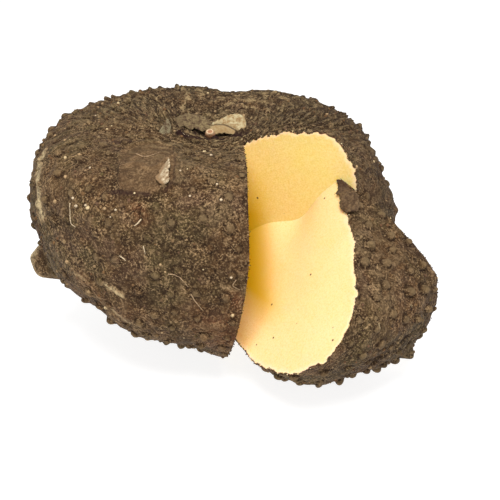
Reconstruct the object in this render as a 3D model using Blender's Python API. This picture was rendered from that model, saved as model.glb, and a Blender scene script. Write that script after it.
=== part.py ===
"""Elephant foot yam: a squat warty corm with a notch cut to its middle, and the
wedge that came out of the notch, rolled over and leaned back into it.

Metres, +Z up. The origin is on the flat spot that the corm rests on, under its
middle. +X is to the right and +Y away from the open side of the notch.
"""

import math

import bmesh
import bpy
import numpy as np
from mathutils import Vector

OBJECT_NAME = "elephant_foot_yam"

# The corm's skin lies inside a few flat sides, which run softly into each other.
# Each side is the way it faces from the corm's middle, and how far off it is.
CORM_MIDDLE = (0.0, 0.0, 0.078)
CORM_CROWN = 0.0725
CORM_LEFT = 0.1120
CORM_RIGHT = 0.1290
CORM_FRONT = 0.1140
CORM_BACK = 0.1160
CORM_UNDER = 0.1000
CORM_SIDES = (
    ((0.0, -0.06, 1.0), CORM_CROWN),
    ((-1.0, 0.0, -0.15), CORM_LEFT),
    ((1.0, 0.0, 0.05), CORM_RIGHT),
    ((0.0, -1.0, 0.0), CORM_FRONT),
    ((0.0, 1.0, 0.0), CORM_BACK),
    ((-0.7, -0.7, 0.0), 0.1210),
    ((0.7, -0.7, 0.0), 0.1270),
    ((-0.7, 0.7, 0.0), 0.1210),
    ((0.7, 0.7, 0.0), 0.1240),
    ((0.0, -0.05, -1.0), CORM_UNDER),
    ((-0.52, -0.20, -1.0), 0.0770),
    ((0.60, 0.10, -1.0), 0.0870),
    ((0.0, 0.8, -1.0), 0.0975),
    ((0.1, -0.9, -1.0), 0.1020),
    ((0.75, 0.0, 0.66), 0.1330),
    ((0.60, -0.50, 0.62), 0.1450),
    ((-0.62, 0.0, 0.78), 0.1400),
)
CORM_ROUNDNESS = 6.0

# The sunken crown that the stem grew from, and the basin in it.
CROWN_TOWARDS = (0.137, 0.32, 0.937)
CROWN_REACH = 0.58
CROWN_DEPTH = 0.017
CROWN_STEEPNESS = 4.0
BASIN_TOWARDS = (0.02, 0.44, 0.90)
BASIN_REACH = 0.21
BASIN_DEPTH = 0.006

# Broad dips and rises in the corm's shape: which way, half angle and height.
CORM_ROLLS = (
    ((0.85, -0.44, 0.28), 0.20, -0.0130),
    ((0.683, -0.326, 0.654), 0.12, 0.0065),
    ((0.42, -0.16, 0.89), 0.20, -0.0030),
    ((0.30, -0.04, 0.95), 0.14, -0.0035),
    ((0.05, -0.42, 0.90), 0.30, -0.0080),
    ((-0.94, -0.30, 0.14), 0.16, 0.0030),
    ((-0.91, -0.10, 0.40), 0.15, -0.0022),
    ((-0.52, 0.62, 0.59), 0.13, -0.0028),
    ((-0.29, 0.75, 0.60), 0.12, -0.0018),
    ((0.09, 0.80, 0.58), 0.13, -0.0035),
    ((0.93, 0.07, 0.34), 0.17, -0.0028),
    ((-0.08, -0.78, -0.62), 0.25, -0.0042),
    ((-0.68, -0.68, -0.28), 0.20, -0.0030),
)

# What stands out of the skin: the way it lies from the middle, its half angle and height.
BUD = ((-0.955, -0.20, -0.17), 0.105, 0.0155)
BUD_STEEPNESS = 3.2
CORM_STUB = ((0.995, -0.05, 0.10), 0.035, 0.0040)
CROWN_BUDS = (
    ((-0.06, 0.38, 0.92), 0.055, 0.0030),
    ((-0.21, 0.42, 0.88), 0.070, 0.0030),
    ((0.13, 0.50, 0.86), 0.080, 0.0030),
    ((-0.38, 0.30, 0.87), 0.045, 0.0040),
)
CORM_GROWTHS = (BUD, CORM_STUB, *CROWN_BUDS)
GROWTH_RINGS = ((0.5, 0.0), (1.2, 0.5))
GROWTH_CLEARANCE = 2.0

# The notch: where its two walls meet, and the way each wall runs out from there. The
# left wall leans away as it goes down. The wedge keeps a small gap to the back wall.
NOTCH_CORNER = (0.020, -0.0035)
NOTCH_BACK_BEARING = math.radians(-30.6)
NOTCH_LEFT_BEARING = math.radians(-87.1)
NOTCH_LEAN = 0.018
NOTCH_LEAN_BELOW = 0.100
NOTCH_LEAN_CURVE = 1.5
NOTCH_REACH = 0.320
NOTCH_LEVELS = 12
NOTCH_BOTTOM = -0.020
NOTCH_TOP = 0.220
GAP = 0.0005

# The wedge lies rolled over against the notch's back wall.
WEDGE_TIP = (0.0796, -0.0404, 0.1200)
WEDGE_ROLL = math.radians(54.6)
WEDGE_ANGLE = math.radians(50.0)
WEDGE_MIDDLE_DOWN_EDGE = 0.0265
WEDGE_MIDDLE_FROM_EDGE = 0.0630
WEDGE_ROUNDNESS = 6.0

# Warts, made larger than life: each is a point raised over a ring of six. None grows
# on the scar. Fillers carry the skin on between the warts.
WART_SPACING = 0.0118
WART_RADIUS = 0.0045
WART_HEIGHT = 0.0025
WART_SIZES = (0.75, 1.2)
WART_SIDES = 6
WART_SEED = 7
SCAR_TOWARDS = (-0.27, -0.745, 0.61)
SCAR_REACH = 0.13
FILLER_SPACING = 0.012
FILLER_CLEARANCE = 0.0075
TRIES = 9000

# Blocks cut the flat spots and the wedge's near face.
BLOCK_SIZE = 0.6
SHARP_ANGLE = math.radians(40.0)

SKIN_COLOUR = (0.130, 0.085, 0.045)
SKIN_ROUGHNESS = 0.85
FLESH_COLOUR = (0.955, 0.680, 0.210)
FLESH_ROUGHNESS = 0.60


def unit(vector):
    vector = np.asarray(vector, dtype=float)
    return vector / np.linalg.norm(vector)


def between_sides(directions, sides, roundness):
    """How far the skin lies from the middle, inside flat sides that run softly together."""
    crowding = np.zeros(len(directions))
    for facing, distance in sides:
        crowding += np.maximum(directions @ unit(facing) / distance, 0.0) ** roundness
    return crowding ** (-1.0 / roundness)


def swelling(directions, towards, reach, height, steepness=2.0):
    """A round rise of the skin, or a hollow where the height is negative."""
    angle = np.arccos(np.clip(directions @ unit(towards), -1.0, 1.0))
    return height * np.exp(-((angle / reach) ** steepness))


def corm_skin(directions):
    reach = between_sides(directions, CORM_SIDES, CORM_ROUNDNESS)
    reach += swelling(directions, CROWN_TOWARDS, CROWN_REACH, -CROWN_DEPTH, CROWN_STEEPNESS)
    reach += swelling(directions, BASIN_TOWARDS, BASIN_REACH, -BASIN_DEPTH, CROWN_STEEPNESS)
    reach += swelling(directions, *BUD, BUD_STEEPNESS)
    for towards, half_angle, height in (*CORM_ROLLS, CORM_STUB, *CROWN_BUDS):
        reach += swelling(directions, towards, half_angle, height)
    return reach


# The notch's back wall runs along BACK_RUN and faces BACK_FACING, into the notch.
BACK_RUN = np.array([math.cos(NOTCH_BACK_BEARING), math.sin(NOTCH_BACK_BEARING), 0.0])
BACK_FACING = np.array([BACK_RUN[1], -BACK_RUN[0], 0.0])
LEFT_RUN = np.array([math.cos(NOTCH_LEFT_BEARING), math.sin(NOTCH_LEFT_BEARING), 0.0])

# The wedge's thin edge climbs to the right. Its far face leans on the back wall, and
# its near face stands off from that by the angle it was cut to.
WEDGE_EDGE = math.sin(WEDGE_ROLL) * BACK_RUN + math.cos(WEDGE_ROLL) * np.array([0.0, 0.0, 1.0])
FAR_FACE_RUN = unit(np.cross(WEDGE_EDGE, BACK_FACING))
NEAR_FACE_RUN = math.cos(WEDGE_ANGLE) * FAR_FACE_RUN + math.sin(WEDGE_ANGLE) * BACK_FACING
NEAR_FACE_FACING = unit(np.cross(NEAR_FACE_RUN, WEDGE_EDGE))
WEDGE_OUT = unit(NEAR_FACE_RUN + FAR_FACE_RUN)
WEDGE_ACROSS = unit(NEAR_FACE_RUN - FAR_FACE_RUN)
WEDGE_MIDDLE = (
    np.array(WEDGE_TIP) - WEDGE_MIDDLE_DOWN_EDGE * WEDGE_EDGE + WEDGE_MIDDLE_FROM_EDGE * WEDGE_OUT
)
WEDGE_SIDES = (
    (WEDGE_EDGE - 0.30 * WEDGE_OUT + 0.28 * WEDGE_ACROSS, 0.0455),
    (0.75 * WEDGE_EDGE + 0.65 * FAR_FACE_RUN, 0.0565),
    (0.80 * WEDGE_EDGE + 0.60 * NEAR_FACE_RUN, 0.0645),
    (WEDGE_OUT, 0.0570),
    (NEAR_FACE_RUN, 0.0760),
    (FAR_FACE_RUN, 0.0545),
    (-WEDGE_EDGE, 0.0663),
    (NEAR_FACE_RUN - WEDGE_EDGE, 0.0583),
    (-WEDGE_OUT, 0.0930),
    (NEAR_FACE_FACING, 0.0990),
    (-BACK_FACING, 0.0990),
    ((0.0, 0.0, -1.0), 0.0660),
)
WEDGE_ROLLS = (((0.24, -0.52, -0.82), 0.24, -0.0048),)
WEDGE_GROWTHS = (((0.79, -0.22, -0.57), 0.070, 0.0065),)


def wedge_skin(directions):
    reach = between_sides(directions, WEDGE_SIDES, WEDGE_ROUNDNESS)
    for towards, half_angle, height in (*WEDGE_ROLLS, *WEDGE_GROWTHS):
        reach += swelling(directions, towards, half_angle, height)
    return reach


def kept_on_corm(point):
    """Whether a place on the skin outlasts the cuts, with a little to spare."""
    beyond = np.array([point[0] - NOTCH_CORNER[0], point[1] - NOTCH_CORNER[1], 0.0])
    left_facing = np.array([-LEFT_RUN[1], LEFT_RUN[0], 0.0])
    in_notch = beyond @ BACK_FACING > WART_SPACING and beyond @ left_facing > WART_SPACING
    return not in_notch and point[2] > -WART_RADIUS


def kept_on_wedge(point):
    """Whether a place on the wedge's skin outlasts the two faces and the flat spot."""
    before_near = (point - np.array(WEDGE_TIP)) @ NEAR_FACE_FACING < WART_SPACING
    corner = np.array([NOTCH_CORNER[0], NOTCH_CORNER[1], 0.0])
    before_far = (point - corner) @ BACK_FACING > -WART_SPACING
    return before_near and before_far and point[2] > -WART_RADIUS


def scattered(middle, skin, spacing, kept, bare, random):
    """Places on the skin no nearer to each other than the spacing, where kept allows."""
    directions = random.normal(size=(TRIES, 3))
    directions /= np.linalg.norm(directions, axis=1)[:, None]
    places = directions * skin(directions)[:, None]
    chosen = []
    for direction, place in zip(directions, places):
        if not kept(place + middle):
            continue
        if any(direction @ unit(towards) > math.cos(reach) for towards, reach in bare):
            continue
        if chosen and np.min(np.linalg.norm(np.array(chosen) - place, axis=1)) < spacing:
            continue
        chosen.append(place)
    return np.array(chosen)


def ring_round(place, radius, turn):
    """Points in a ring about a place on the skin, square to the line from the middle."""
    outward = unit(place)
    side = unit(np.cross(outward, (0.3, 0.5, 0.8)))
    other = np.cross(outward, side)
    angles = turn + np.arange(WART_SIDES) * 2.0 * math.pi / WART_SIDES
    return [place + radius * (math.cos(a) * side + math.sin(a) * other) for a in angles]


def warty_points(middle, skin, kept, growths, scars, seed):
    """Directions from the middle, and how far out the skin is in each, warts included."""
    random = np.random.default_rng(seed)
    rings = []
    tops = []
    heights = []
    for towards, half_angle, _ in growths:
        place = unit(towards) * skin(unit(towards)[None])[0]
        reach = half_angle * np.linalg.norm(place)
        for share, turn in GROWTH_RINGS:
            rings.extend(ring_round(place, share * reach, turn))
        tops.append(place)
        heights.append(0.0)
    bare = [(towards, GROWTH_CLEARANCE * half_angle) for towards, half_angle, _ in growths]
    bare.extend(scars)
    for place in scattered(middle, skin, WART_SPACING, kept, bare, random):
        size = random.uniform(*WART_SIZES)
        rings.extend(ring_round(place, WART_RADIUS * size, random.uniform(0.0, math.pi)))
        tops.append(place)
        heights.append(WART_HEIGHT * size)
    shaped = np.array(rings + tops)
    fillers = []
    for place in scattered(middle, skin, FILLER_SPACING, lambda point: True, (), random):
        if np.min(np.linalg.norm(shaped - place, axis=1)) > FILLER_CLEARANCE:
            fillers.append(place)
    places = np.array(rings + tops + fillers)
    directions = places / np.linalg.norm(places, axis=1)[:, None]
    raised = np.concatenate([np.zeros(len(rings)), heights, np.zeros(len(fillers))])
    return directions, skin(directions) + raised


def material(name, colour, roughness):
    made = bpy.data.materials.new(name)
    made.use_nodes = True
    shader = made.node_tree.nodes["Principled BSDF"]
    shader.inputs["Base Color"].default_value = (*colour, 1.0)
    shader.inputs["Roughness"].default_value = roughness
    shader.inputs["Metallic"].default_value = 0.0
    return made


def add_object(name, bm, collection):
    mesh = bpy.data.meshes.new(name)
    bm.to_mesh(mesh)
    bm.free()
    made = bpy.data.objects.new(name, mesh)
    collection.objects.link(made)
    return made


def skin_solid(name, middle, points, finishes, collection):
    """A closed skin through points round the middle, joined as their hull on a ball."""
    directions, reaches = points
    bm = bmesh.new()
    for direction in directions:
        bm.verts.new(direction)
    bmesh.ops.convex_hull(bm, input=bm.verts)
    for vert, direction, reach in zip(bm.verts, directions, reaches):
        vert.co = Vector(direction * reach)
    bmesh.ops.recalc_face_normals(bm, faces=bm.faces)
    made = add_object(name, bm, collection)
    for finish in finishes:
        made.data.materials.append(finish)
    made.data.shade_smooth()
    made.data.set_sharp_from_angle(angle=SHARP_ANGLE)
    made.location = middle
    return made


def hide(cutter):
    cutter.hide_render = True
    cutter.display_type = "WIRE"
    return cutter


def notch_space(name, gap, collection):
    """The room between the notch's walls, lofted upwards, and narrower by the gap."""
    corner = np.array([NOTCH_CORNER[0], NOTCH_CORNER[1], 0.0]) + gap * BACK_FACING
    lift = np.array([0.0, 0.0, 1.0])
    bm = bmesh.new()
    levels = []
    for height in np.linspace(NOTCH_BOTTOM, NOTCH_TOP, NOTCH_LEVELS + 1):
        below = min(max((NOTCH_LEAN_BELOW - height) / NOTCH_LEAN_BELOW, 0.0), 1.0)
        shift = gap / -LEFT_RUN[1] - NOTCH_LEAN * below**NOTCH_LEAN_CURVE
        inner = corner + BACK_RUN * (shift / BACK_RUN[0]) + lift * height
        outline = (inner, inner + LEFT_RUN * NOTCH_REACH, inner + BACK_RUN * NOTCH_REACH)
        levels.append([bm.verts.new(point) for point in outline])
    for low, high in zip(levels, levels[1:]):
        for here, there in ((0, 1), (1, 2), (2, 0)):
            bm.faces.new((low[here], low[there], high[there], high[here]))
    bm.faces.new(levels[0])
    bm.faces.new(levels[-1])
    bmesh.ops.recalc_face_normals(bm, faces=bm.faces)
    return hide(add_object(name, bm, collection))


def block_beyond(name, point, facing, collection):
    """A large block that fills the side of a plane which the plane faces."""
    bm = bmesh.new()
    bmesh.ops.create_cube(bm, size=BLOCK_SIZE)
    made = hide(add_object(name, bm, collection))
    facing = Vector(facing).normalized()
    made.rotation_mode = "QUATERNION"
    made.rotation_quaternion = facing.to_track_quat("Z", "Y")
    made.location = Vector(point) + facing * (BLOCK_SIZE / 2.0)
    return made


def add_boolean(solid, other, operation):
    cut = solid.modifiers.new(other.name, "BOOLEAN")
    cut.operation = operation
    cut.object = other
    cut.solver = "EXACT"


def clear_scene():
    for found in list(bpy.data.objects):
        bpy.data.objects.remove(found, do_unlink=True)


def collection_named(name):
    made = bpy.data.collections.new(name)
    bpy.context.scene.collection.children.link(made)
    return made


def build():
    clear_scene()
    parts = collection_named(OBJECT_NAME)
    cutters = collection_named("cutters")
    skin = material("yam_skin", SKIN_COLOUR, SKIN_ROUGHNESS)
    flesh = material("yam_flesh", FLESH_COLOUR, FLESH_ROUGHNESS)

    corm_middle = np.array(CORM_MIDDLE)
    scars = ((SCAR_TOWARDS, SCAR_REACH),)
    corm_points = warty_points(
        corm_middle, corm_skin, kept_on_corm, CORM_GROWTHS, scars, WART_SEED
    )
    corm = skin_solid("corm", corm_middle, corm_points, (skin, flesh), parts)
    wedge_points = warty_points(
        WEDGE_MIDDLE, wedge_skin, kept_on_wedge, WEDGE_GROWTHS, (), WART_SEED + 1
    )
    wedge = skin_solid("cut_wedge", WEDGE_MIDDLE, wedge_points, (skin, flesh), parts)

    notch = notch_space("notch_space", 0.0, cutters)
    wedge_room = notch_space("wedge_room", GAP, cutters)
    near_side = block_beyond("near_side", WEDGE_TIP, NEAR_FACE_FACING, cutters)
    ground = block_beyond("ground", (0.0, 0.0, 0.0), (0.0, 0.0, -1.0), cutters)
    for cutter in (notch, wedge_room, near_side):
        cutter.data.materials.append(flesh)
    ground.data.materials.append(skin)

    add_boolean(corm, notch, "DIFFERENCE")
    add_boolean(corm, ground, "DIFFERENCE")
    add_boolean(wedge, wedge_room, "INTERSECT")
    add_boolean(wedge, near_side, "DIFFERENCE")
    add_boolean(wedge, ground, "DIFFERENCE")


build()
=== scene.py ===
import math

import bmesh
import bpy
import numpy as np
from mathutils import Matrix, Vector, kdtree, noise

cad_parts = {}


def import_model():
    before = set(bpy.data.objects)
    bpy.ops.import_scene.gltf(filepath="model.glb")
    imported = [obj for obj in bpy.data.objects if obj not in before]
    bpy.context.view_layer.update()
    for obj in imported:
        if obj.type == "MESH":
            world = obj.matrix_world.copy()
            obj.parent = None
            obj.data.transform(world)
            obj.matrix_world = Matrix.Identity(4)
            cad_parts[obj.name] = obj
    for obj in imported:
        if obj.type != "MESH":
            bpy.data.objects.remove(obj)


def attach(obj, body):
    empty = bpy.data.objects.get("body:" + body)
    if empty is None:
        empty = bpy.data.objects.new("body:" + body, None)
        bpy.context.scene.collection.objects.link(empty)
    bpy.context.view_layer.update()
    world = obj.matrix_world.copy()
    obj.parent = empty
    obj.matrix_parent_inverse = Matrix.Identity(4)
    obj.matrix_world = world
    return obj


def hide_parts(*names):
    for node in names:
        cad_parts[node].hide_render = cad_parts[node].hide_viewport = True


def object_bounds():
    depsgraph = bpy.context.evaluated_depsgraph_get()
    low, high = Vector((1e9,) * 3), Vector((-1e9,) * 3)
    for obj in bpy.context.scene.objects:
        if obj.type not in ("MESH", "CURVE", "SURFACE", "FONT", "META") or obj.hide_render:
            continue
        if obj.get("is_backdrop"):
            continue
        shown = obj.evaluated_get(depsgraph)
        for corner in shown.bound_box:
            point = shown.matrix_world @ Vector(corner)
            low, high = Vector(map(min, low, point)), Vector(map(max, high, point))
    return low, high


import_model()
cad_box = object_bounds()

# The corm is the yam itself: the squat, swollen foot of a stem, under a dry corky skin that is
# full of warts, with a sunken crown where the leaf stalk stood. It grew in one piece, and a knife
# took a notch out of its front down to the middle.
CORM_MIDDLE = np.array([0.0, 0.0, 0.078])
CORM_SIDES = (
    ((0.0, -0.06, 1.0), 0.0725),
    ((-1.0, 0.0, -0.15), 0.112),
    ((1.0, 0.0, 0.05), 0.129),
    ((0.0, -1.0, 0.0), 0.114),
    ((0.0, 1.0, 0.0), 0.116),
    ((-0.7, -0.7, 0.0), 0.121),
    ((0.7, -0.7, 0.0), 0.127),
    ((-0.7, 0.7, 0.0), 0.121),
    ((0.7, 0.7, 0.0), 0.124),
    ((0.0, -0.05, -1.0), 0.1),
    ((-0.52, -0.2, -1.0), 0.077),
    ((0.6, 0.1, -1.0), 0.087),
    ((0.0, 0.8, -1.0), 0.0975),
    ((0.1, -0.9, -1.0), 0.102),
    ((0.75, 0.0, 0.66), 0.133),
    ((0.6, -0.5, 0.62), 0.145),
    ((-0.62, 0.0, 0.78), 0.14),
)
ROUNDNESS = 6.0
CROWN_TOWARDS = (0.137, 0.32, 0.937)
CORM_ROLLS = (
    (CROWN_TOWARDS, 0.58, -0.017, 4.0),
    ((0.02, 0.44, 0.9), 0.21, -0.006, 4.0),
    ((0.85, -0.44, 0.28), 0.2, -0.013, 2.0),
    ((0.683, -0.326, 0.654), 0.12, 0.0065, 2.0),
    ((0.42, -0.16, 0.89), 0.2, -0.003, 2.0),
    ((0.3, -0.04, 0.95), 0.14, -0.0035, 2.0),
    ((0.05, -0.42, 0.9), 0.3, -0.008, 2.0),
    ((-0.94, -0.3, 0.14), 0.16, 0.003, 2.0),
    ((-0.91, -0.1, 0.4), 0.15, -0.0022, 2.0),
    ((-0.52, 0.62, 0.59), 0.13, -0.0028, 2.0),
    ((-0.29, 0.75, 0.6), 0.12, -0.0018, 2.0),
    ((0.09, 0.8, 0.58), 0.13, -0.0035, 2.0),
    ((0.93, 0.07, 0.34), 0.17, -0.0028, 2.0),
    ((-0.08, -0.78, -0.62), 0.25, -0.0042, 2.0),
    ((-0.68, -0.68, -0.28), 0.2, -0.003, 2.0),
)
CORM_GROWTHS = (
    ((-0.955, -0.2, -0.17), 0.105, 0.0155, 3.2),
    ((0.995, -0.05, 0.1), 0.035, 0.004, 2.0),
    ((-0.06, 0.38, 0.92), 0.055, 0.003, 2.0),
    ((-0.21, 0.42, 0.88), 0.07, 0.003, 2.0),
    ((0.13, 0.5, 0.86), 0.08, 0.003, 2.0),
    ((-0.38, 0.3, 0.87), 0.045, 0.004, 2.0),
)
SCAR = ((-0.27, -0.745, 0.61), 0.13)
SCARS = (SCAR, ((-0.34, -0.62, 0.71), 0.12))
SCAR_REACH = 1.2

NOTCH_CORNER = np.array([0.02, -0.0035, 0.0])
NOTCH_BACK_BEARING = math.radians(-30.6)
NOTCH_LEFT_BEARING = math.radians(-87.1)
NOTCH_LEAN = 0.018
NOTCH_LEAN_BELOW = 0.1
NOTCH_LEAN_CURVE = 1.5
NOTCH_REACH = 0.15
NOTCH_OUTSIDE = 0.32
NOTCH_HEIGHTS = (-0.012, 0.17)
CUT_GRID = 0.0016
CUT_WAVE = 0.0004
CUT_WAVE_SIZE = 0.022
CUT_CALM = 0.01
UP = np.array([0.0, 0.0, 1.0])
BACK_RUN = np.array([math.cos(NOTCH_BACK_BEARING), math.sin(NOTCH_BACK_BEARING), 0.0])
BACK_FACING = np.array([BACK_RUN[1], -BACK_RUN[0], 0.0])
LEFT_RUN = np.array([math.cos(NOTCH_LEFT_BEARING), math.sin(NOTCH_LEFT_BEARING), 0.0])
LEFT_FACING = np.array([-LEFT_RUN[1], LEFT_RUN[0], 0.0])

WART_SPACING = 0.0118
WART_SIZES = (0.75, 1.2)
WART_TRIES = 9000
WART_CLEARANCE = 0.0045
WART_RADIUS = 0.0027
WART_HEIGHT = 0.0028
WART_SEED = 7


def unit(vector):
    vector = np.asarray(vector, dtype=float)
    return vector / np.linalg.norm(vector)


def angle_from(directions, towards):
    return np.arccos(np.clip(directions @ unit(towards), -1.0, 1.0))


def hump(values, middle, width):
    """From 1 at the middle value to 0 well away from it."""
    return np.exp(-(((values - middle) / width) ** 2))


def before(values, edge, softness):
    """From 1 well below the edge to 0 well above it."""
    return 1.0 / (1.0 + np.exp((values - edge) / softness))


def near_path(directions, path, width):
    """From 1 on a path of directions to 0 away from it, for folds and long patches."""
    closest = np.full(len(directions), np.inf)
    stops = [unit(stop) for stop in path]
    for start, end in zip(stops, stops[1:]):
        run = end - start
        share = np.clip((directions - start) @ run / (run @ run), 0.0, 1.0)
        gap = np.linalg.norm(directions - start - share[:, None] * run, axis=1)
        closest = np.minimum(closest, gap)
    return hump(closest, 0.0, width)


def skin_between(sides, bulges):
    """How far a skin lies from its middle, for any directions: flat sides that run softly
    together, with round rises and hollows by direction, reach, height and steepness."""

    def skin(directions):
        crowding = np.zeros(len(directions))
        for facing, distance in sides:
            crowding += np.maximum(directions @ unit(facing) / distance, 0.0) ** ROUNDNESS
        reach = crowding ** (-1.0 / ROUNDNESS)
        for towards, width, height, steepness in bulges:
            reach += height * np.exp(-((angle_from(directions, towards) / width) ** steepness))
        return reach

    return skin


corm_skin = skin_between(CORM_SIDES, CORM_ROLLS + CORM_GROWTHS)


def outside_notch(points):
    beyond = points - NOTCH_CORNER
    return np.maximum(-(beyond @ BACK_FACING), -(beyond @ LEFT_FACING))


def wart_places(middle, skin, outside, growths, scars, seed):
    """Where the warts stand on a skin, measured from its middle, and how large each is."""
    random = np.random.default_rng(seed)
    directions = random.normal(size=(WART_TRIES, 3))
    directions /= np.linalg.norm(directions, axis=1)[:, None]
    places = directions * skin(directions)[:, None]
    free = (outside(places + middle) > -WART_SPACING) & (places[:, 2] + middle[2] > -WART_CLEARANCE)
    bare = [(towards, 2.0 * half_angle) for towards, half_angle, *_ in growths] + list(scars)
    for towards, reach in bare:
        free &= directions @ unit(towards) <= math.cos(reach)
    chosen = []
    for place in places[free]:
        if not chosen or np.min(np.linalg.norm(np.array(chosen) - place, axis=1)) >= WART_SPACING:
            chosen.append(place)
    draws = random.uniform(*WART_SIZES, size=(len(chosen), 2))
    return np.array(chosen), draws[:, 0]


# How the fine relief of the skin is made up: lumps by size and height, growth rings round the
# crown, folds by path, width and height, warts with a moat, and the lip of the peeled scar.
LUMPS = ((0.04, 0.0018), (0.018, 0.0017), (0.0085, 0.0011), (0.0052, 0.0006))
CROWN_REACH = 0.11
RING_SPACING = 0.0055
RING_HEIGHT = 0.0013
RING_WANDER = (1.3, 0.035)
RING_BAND = (0.55, 0.42)
WART_DOME = 0.7
WART_MOAT = ((1.25, 0.25), 0.22)
WART_RISES = (0.25, 1.15)
CORM_FOLDS = (
    (((-0.3, 0.19, 0.93), (-0.14, 0.3, 0.94), (0.05, 0.36, 0.93), (0.34, 0.24, 0.91)), 0.06, -0.006),
    (((-0.62, -0.3, 0.72), (-0.45, -0.42, 0.79), (-0.2, -0.47, 0.86)), 0.022, -0.0022),
    (((-0.24, -0.86, 0.46), (-0.09, -0.85, 0.52), (0.01, -0.84, 0.54), (0.05, -0.82, 0.57)), 0.012, -0.0015),
    (
        ((-0.57, 0.07, 0.82), (-0.39, 0.5, 0.77), (-0.09, 0.64, 0.77), (0.22, 0.63, 0.74), (0.62, 0.35, 0.7)),
        0.035, -0.0026,
    ),
    (((-0.33, -0.18, 0.93), (-0.45, 0.05, 0.89), (-0.4, 0.25, 0.88)), 0.025, -0.002),
)
SCAR_RAGGED = (0.3, 0.011)
SCAR_SOFT = 0.035
SCAR_FLAT = 0.75
SCAR_HOLLOW = 0.0009
SCAR_LIP = ((1.08, 0.08), 0.0013)


def lumps(points, size, offset):
    """Smooth noise from -1 to 1 at each point, whose lumps are of the given size."""
    shift = Vector((offset, 2.0 * offset, -offset))
    return np.array([noise.noise(Vector(point) / size + shift) for point in points])


def nearest_wart(places, warts, sizes):
    """How far each place is from its nearest wart's middle, in that wart's radii, and its size."""
    tree = kdtree.KDTree(len(warts))
    for index, wart in enumerate(warts):
        tree.insert(wart, index)
    tree.balance()
    found = [tree.find(place) for place in places]
    size = sizes[[index for _, index, _ in found]]
    distance = np.array([gap for _, _, gap in found])
    return distance / (WART_RADIUS * size), size


def scar_nearness(directions, places, towards, half_angle):
    """Below 1 inside a scar, whose ragged outline is where it passes 1."""
    angle = angle_from(directions, towards) / (SCAR_REACH * half_angle)
    return angle + SCAR_RAGGED[0] * lumps(places, SCAR_RAGGED[1], 21.0)


def growth_rings(directions, places):
    """The wave of the growth rings round the crown, from -1 in a groove to 1 on a ridge."""
    from_crown = angle_from(directions, CROWN_TOWARDS)
    wander = RING_WANDER[0] * lumps(places, RING_WANDER[1], 9.0)
    ring_phase = from_crown * CROWN_REACH / RING_SPACING + wander
    return hump(from_crown, *RING_BAND) * np.sin(2.0 * math.pi * ring_phase)


def skin_relief(directions, reach, warts, sizes, folds, scars, ring_height):
    """Height of lumps, rings, folds, scars and warts over the plain skin, and the wart nearness."""
    places = directions * reach[:, None]
    relief = ring_height * growth_rings(directions, places)
    for index, (size, height) in enumerate(LUMPS):
        relief += height * lumps(places, size, 3.0 + index)
    nearness, size = nearest_wart(places, warts, sizes)
    dome = np.maximum(1.0 - nearness**2, 0.0) ** WART_DOME
    moat = WART_MOAT[1] * hump(nearness, *WART_MOAT[0])
    rise = np.clip(0.8 + 0.8 * lumps(places, 0.045, 13.0), *WART_RISES)
    relief += WART_HEIGHT * rise * size * (dome - moat)
    for path, width, height in folds:
        relief += height * near_path(directions, path, width)
    for scar in scars:
        nearing = scar_nearness(directions, places, *scar)
        inside = before(nearing, 1.0, SCAR_SOFT)
        lip = SCAR_LIP[1] * hump(nearing, *SCAR_LIP[0]) * (1.0 + lumps(places, 0.008, 23.0))
        relief = relief * (1.0 - SCAR_FLAT * inside) - SCAR_HOLLOW * inside + lip
    return relief, nearness


def ball_of_directions(divisions):
    """The faces of a cube, divided evenly and drawn onto a ball, with its directions."""
    bm = bmesh.new()
    bmesh.ops.create_cube(bm, size=2.0)
    bmesh.ops.subdivide_edges(bm, edges=bm.edges[:], cuts=divisions - 1, use_grid_fill=True)
    on_cube = np.array([vert.co for vert in bm.verts])
    drawn = np.tan(on_cube * math.pi / 4.0)
    return bm, drawn / np.linalg.norm(drawn, axis=1)[:, None]


def place_points(bm, points):
    for vert, point in zip(bm.verts, points):
        vert.co = Vector(point)


def in_scene(name, data):
    made = bpy.data.objects.new(name, data)
    bpy.context.scene.collection.objects.link(made)
    return made


def finished_object(name, bm, materials):
    mesh = bpy.data.meshes.new(name)
    bm.to_mesh(mesh)
    bm.free()
    for finish in materials:
        mesh.materials.append(finish)
    return in_scene(name, mesh)


def evaluated_mesh(piece):
    graph = bpy.context.evaluated_depsgraph_get()
    return bpy.data.meshes.new_from_object(piece.evaluated_get(graph))


def as_plain_mesh(piece):
    """Applies what the modifiers do to the piece's own mesh, and takes them off."""
    mesh = evaluated_mesh(piece)
    piece.modifiers.clear()
    piece.data = mesh
    mesh.name = piece.name


def join_rows(bm, rows, closed=False):
    """Faces from each row of points to the next, which go all the way round where closed."""
    count = len(rows[0])
    for low, high in zip(rows, rows[1:]):
        for here in range(count if closed else count - 1):
            there = (here + 1) % count
            bm.faces.new((low[here], low[there], high[there], high[here]))


def knife_cut(name, bm, materials):
    """A closed form that leaves flesh where it cuts."""
    bmesh.ops.recalc_face_normals(bm, faces=bm.faces)
    for face in bm.faces:
        face.material_index = 1
    return finished_object(name, bm, materials)


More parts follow.
